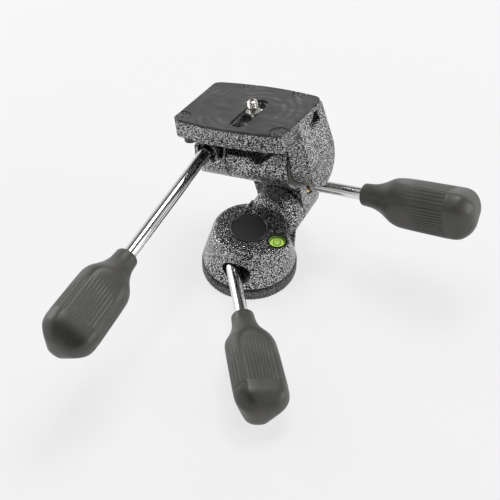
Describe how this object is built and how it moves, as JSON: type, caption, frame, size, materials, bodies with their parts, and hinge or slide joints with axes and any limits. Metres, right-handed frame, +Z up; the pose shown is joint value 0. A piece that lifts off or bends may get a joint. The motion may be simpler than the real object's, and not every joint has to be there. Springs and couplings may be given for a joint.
{
  "type": "three way pan tilt head",
  "caption": "Cast tripod head whose base pans and whose elbow and platform tilt two ways, each locked by a handle with a ribbed grip; round level, padded platform and camera screw.",
  "frame": {"origin": "centre of the base disc's underside, at the mouth of the tripod thread", "axes": "+Z up along the pan axis, +X along the platform's long side towards the side tilt handle, +Y the way a camera on the platform looks"},
  "size_m": [0.1824, 0.2135, 0.1134],
  "materials": {
    "base_casting": "dark hammertone paint",
    "bright_steel": "turned",
    "zinc_steel": "zinc plated",
    "slip_plastic": "plain",
    "brass": "turned",
    "casting": "hammertone paint with fine black and pale speckle",
    "black_plastic": "satin black",
    "level_fluid": "yellow green, glossy",
    "level_lens": "clear with a printed ring",
    "cotter_alloy": "machined",
    "chrome": "mirror bright",
    "core_plastic": "moulded",
    "grip_rubber": "matt, softly ribbed",
    "pad_rubber": "matt",
    "screw_steel": "satin bright"
  },
  "bodies": {
    "base": {"base_disc": "base_casting", "thread_insert": "bright_steel", "pan_spindle": "bright_steel", "spindle_screws": "zinc_steel", "pan_slip_washer": "slip_plastic", "pan_wave_washer": "zinc_steel", "pan_nut": "brass"},
    "pan": {"pan_body": "casting", "pan_cap": "black_plastic", "level_cup": "black_plastic", "level_vial": "level_fluid", "level_lens": "level_lens", "lean_shaft": "bright_steel", "lean_shaft_key": "zinc_steel", "lean_end_washer": "zinc_steel", "lean_end_screw": "zinc_steel", "pan_near_cotter": "cotter_alloy"},
    "pan_handle": {"pan_rod": "chrome", "pan_collar": "brass", "pan_grip_core": "core_plastic", "pan_grip": "grip_rubber"},
    "pan_clamp": {"pan_far_cotter": "cotter_alloy"},
    "elbow": {"elbow": "casting", "lean_slip_washer": "slip_plastic", "lean_end_cap": "black_plastic", "lean_near_cotter": "cotter_alloy", "tip_shaft": "bright_steel", "tip_shaft_key": "zinc_steel", "tip_slip_washers": "slip_plastic", "tip_end_washer": "zinc_steel", "tip_end_screw": "zinc_steel"},
    "lean_handle": {"lean_rod": "chrome", "lean_collar": "brass", "lean_grip_core": "core_plastic", "lean_grip": "grip_rubber"},
    "lean_clamp": {"lean_far_cotter": "cotter_alloy"},
    "platform": {"platform": "casting", "rubber_pad": "pad_rubber", "tip_bush": "brass", "tip_end_cap": "black_plastic", "tip_near_cotter": "cotter_alloy"},
    "tip_handle": {"tip_rod": "chrome", "tip_collar": "brass", "tip_grip_core": "core_plastic", "tip_grip": "grip_rubber"},
    "tip_clamp": {"tip_far_cotter": "cotter_alloy"},
    "screw_carriage": {"screw_guide": "zinc_steel"},
    "camera_screw": {"camera_screw": "screw_steel", "screw_clip": "zinc_steel"},
    "screw_lever": {"screw_lever": "black_plastic"}
  },
  "joints": [
    {"name": "pan_turn", "type": "hinge", "parent": "base", "child": "pan", "pos_m": [0, 0, 0.02], "axis": [0, 0, 1], "continuous": true},
    {"name": "lean", "type": "hinge", "parent": "pan", "child": "elbow", "pos_m": [0.008, 0.0411, 0.031], "axis": [0, 1, 0], "range_deg": [-18.4, 101.6]},
    {"name": "tip", "type": "hinge", "parent": "elbow", "child": "platform", "pos_m": [-0.00772, 0.0291, 0.06779], "axis": [0.9796, 0, 0.2011], "range_deg": [-81.4, 38.6]},
    {"name": "pan_handle_turn", "type": "hinge", "parent": "pan", "child": "pan_handle", "pos_m": [-0.01106, -0.00842, 0.02], "axis": [0.6058, -0.7952, -0.0244], "range_deg": [0, 270]},
    {"name": "pan_clamp_draw", "type": "slide", "parent": "pan", "child": "pan_clamp", "axis": [-0.6058, 0.7952, 0.0244], "range_m": [0, 0.000751]},
    {"name": "lean_handle_turn", "type": "hinge", "parent": "elbow", "child": "lean_handle", "pos_m": [0.00579, 0.0411, 0.04177], "axis": [0.9796, 0, 0.2011], "range_deg": [0, 270]},
    {"name": "lean_clamp_draw", "type": "slide", "parent": "elbow", "child": "lean_clamp", "axis": [-0.9796, 0, -0.2011], "range_m": [0, 0.000751]},
    {"name": "tip_handle_turn", "type": "hinge", "parent": "platform", "child": "tip_handle", "pos_m": [-0.0354, 0.02852, 0.07332], "axis": [0.0105, -0.9986, -0.0513], "range_deg": [0, 270]},
    {"name": "tip_clamp_draw", "type": "slide", "parent": "platform", "child": "tip_clamp", "axis": [-0.0105, 0.9986, 0.0513], "range_m": [0, 0.000751]},
    {"name": "screw_slide", "type": "slide", "parent": "platform", "child": "screw_carriage", "axis": [0.0301, 0.9888, -0.1465], "range_m": [-0.0155, 0.001]},
    {"name": "screw_turn", "type": "hinge", "parent": "screw_carriage", "child": "camera_screw", "pos_m": [-0.00776, 0.02309, 0.08936], "axis": [-0.1988, 0.1495, 0.9686], "continuous": true},
    {"name": "lever_swing", "type": "hinge", "parent": "screw_carriage", "child": "screw_lever", "pos_m": [-0.00776, 0.02309, 0.08936], "axis": [-0.1988, 0.1495, 0.9686], "range_deg": [-3, 40]}
  ],
  "couplings": [
    {"joint": "pan_clamp_draw", "follows": "pan_handle_turn", "m_per_rad": 0.00015915},
    {"joint": "lean_clamp_draw", "follows": "lean_handle_turn", "m_per_rad": 0.00015915},
    {"joint": "tip_clamp_draw", "follows": "tip_handle_turn", "m_per_rad": 0.00015915}
  ]
}
